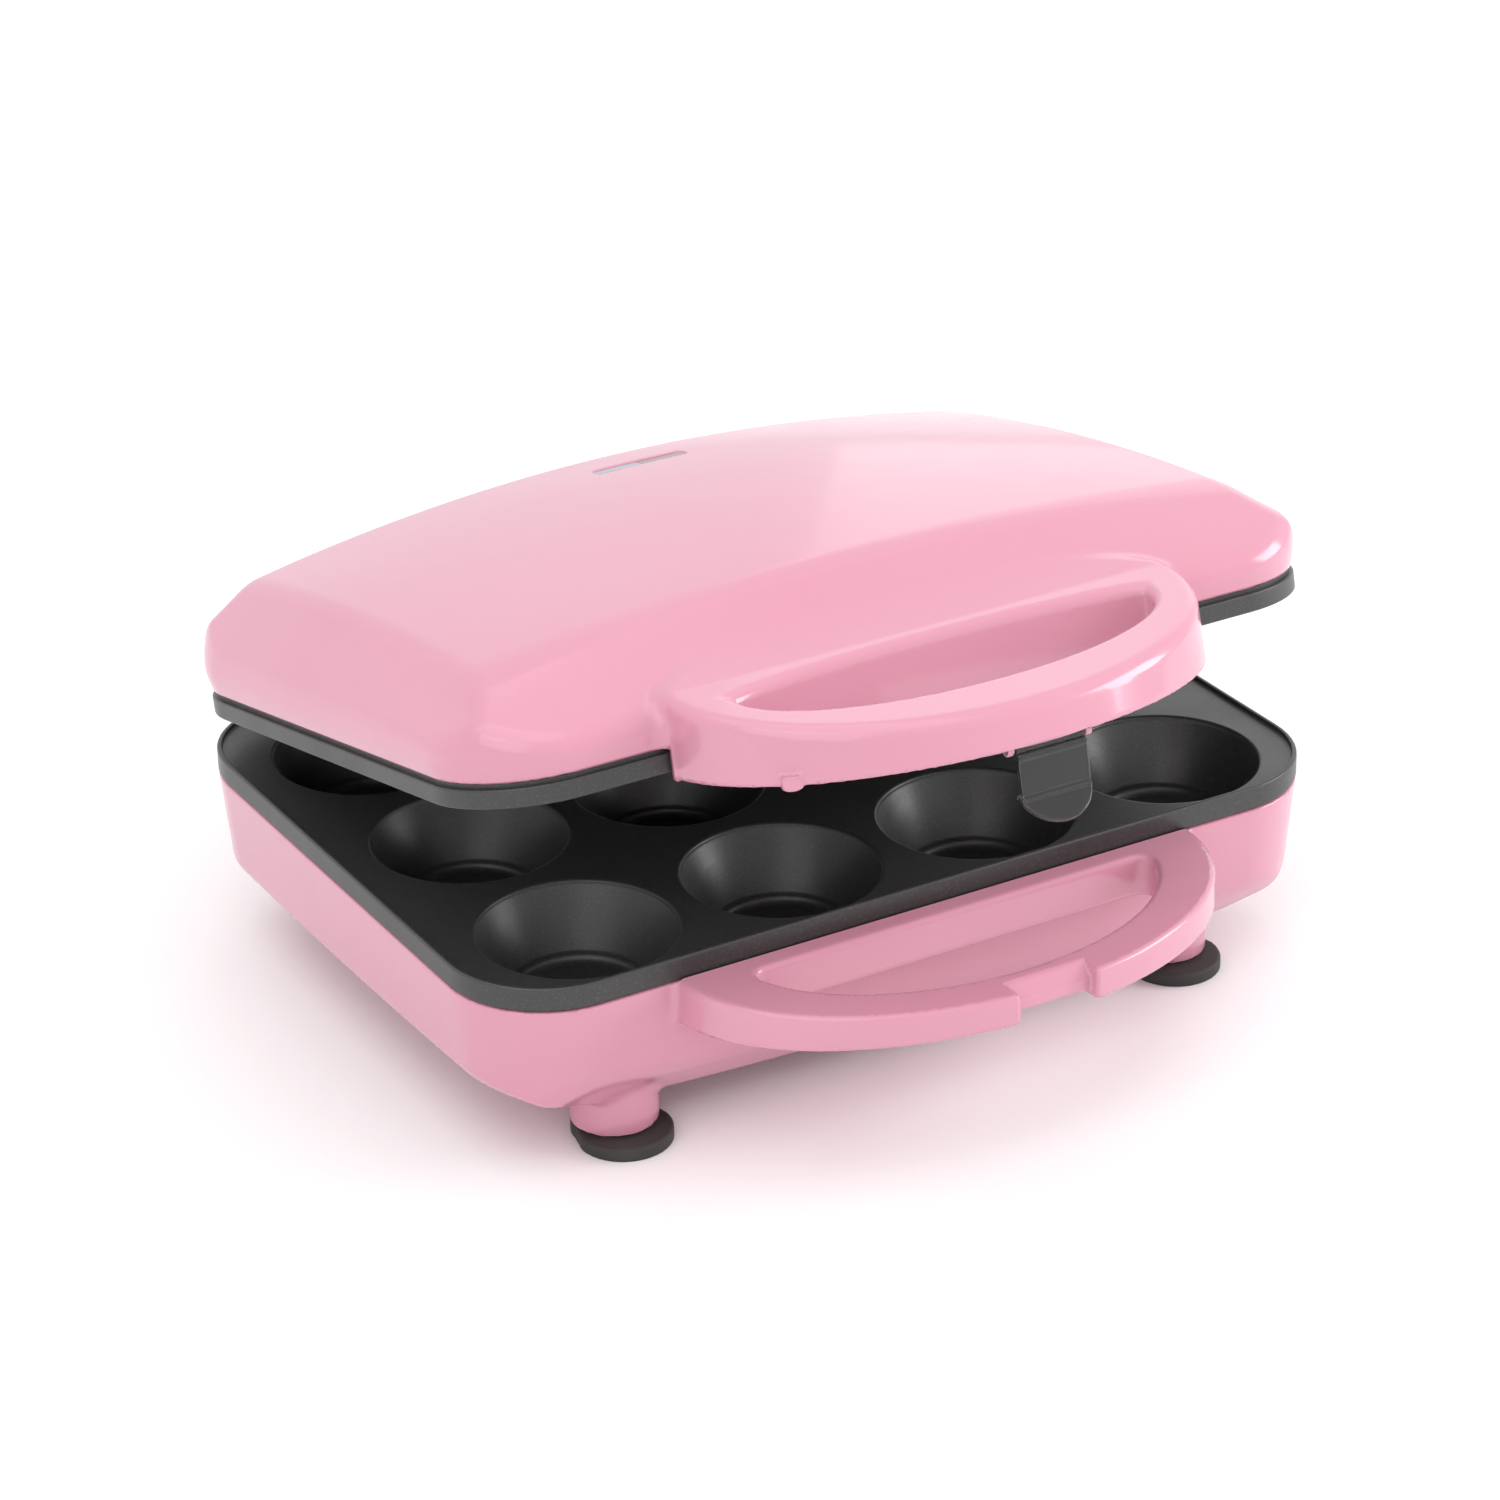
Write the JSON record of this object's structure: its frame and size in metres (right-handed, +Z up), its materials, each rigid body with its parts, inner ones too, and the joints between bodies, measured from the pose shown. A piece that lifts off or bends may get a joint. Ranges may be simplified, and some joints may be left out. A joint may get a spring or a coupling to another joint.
{
  "type": "cupcake maker",
  "caption": "Countertop cupcake maker: two hinged nonstick plates with round cups, glossy housings, loop handles and a latch.",
  "frame": {"origin": "on the table under the middle of the whole object's box, lid ajar", "axes": "+Z up, +Y from the handles at the front to the hinge at the back, +X to the right"},
  "size_m": [0.334, 0.3674, 0.1779],
  "materials": {
    "pink_plastic": "glossy moulded polypropylene",
    "nonstick_plate": "satin black nonstick coating on cast aluminium",
    "steel": "plain zinc plated",
    "element_sheath": "heat-darkened sheath",
    "rubber": "matt moulded",
    "smoke_plastic": "smoky translucent",
    "ceramic": "moulded, matt",
    "wire_sleeve": "braided glass-fibre sleeve",
    "power_window": "tinted window",
    "ready_window": "tinted window",
    "lamp_glass": "neon indicator"
  },
  "bodies": {
    "base": {"lower_housing": "pink_plastic", "lower_baking_plate": "nonstick_plate", "lower_plate_screws": "steel", "lower_heating_element": "element_sheath", "lower_element_clips": "steel", "lower_reflector": "steel", "thermostat": "ceramic", "base_thermal_fuse": "steel", "terminal_block": "ceramic", "base_wiring": "wire_sleeve", "cord_gland": "rubber", "foot_pad_front_left": "rubber", "foot_pad_front_right": "rubber", "foot_pad_rear_left": "rubber", "foot_pad_rear_right": "rubber", "foot_screws": "steel", "hinge_pin_left": "steel", "hinge_pin_right": "steel", "hinge_harness": "wire_sleeve"},
    "lid": {"upper_housing": "pink_plastic", "upper_baking_plate": "nonstick_plate", "upper_plate_screws": "steel", "upper_heating_element": "element_sheath", "upper_element_clips": "steel", "upper_reflector": "steel", "lid_thermal_fuse": "steel", "lid_wiring": "wire_sleeve", "power_lens": "power_window", "ready_lens": "ready_window", "lamp_holder": "ceramic", "power_lamp": "lamp_glass", "ready_lamp": "lamp_glass", "latch_pin": "steel"},
    "latch": {"latch_tab": "smoke_plastic"}
  },
  "joints": [
    {"name": "lid_hinge", "type": "hinge", "parent": "base", "child": "lid", "pos_m": [0, 0.17225, 0.0865], "axis": [-1, 0, 0], "range_deg": [-13.1, 80]},
    {"name": "latch_pivot", "type": "hinge", "parent": "lid", "child": "latch", "pos_m": [0.003, -0.16998, 0.15125], "axis": [-1, 0, 0], "range_deg": [-4, 45]}
  ]
}
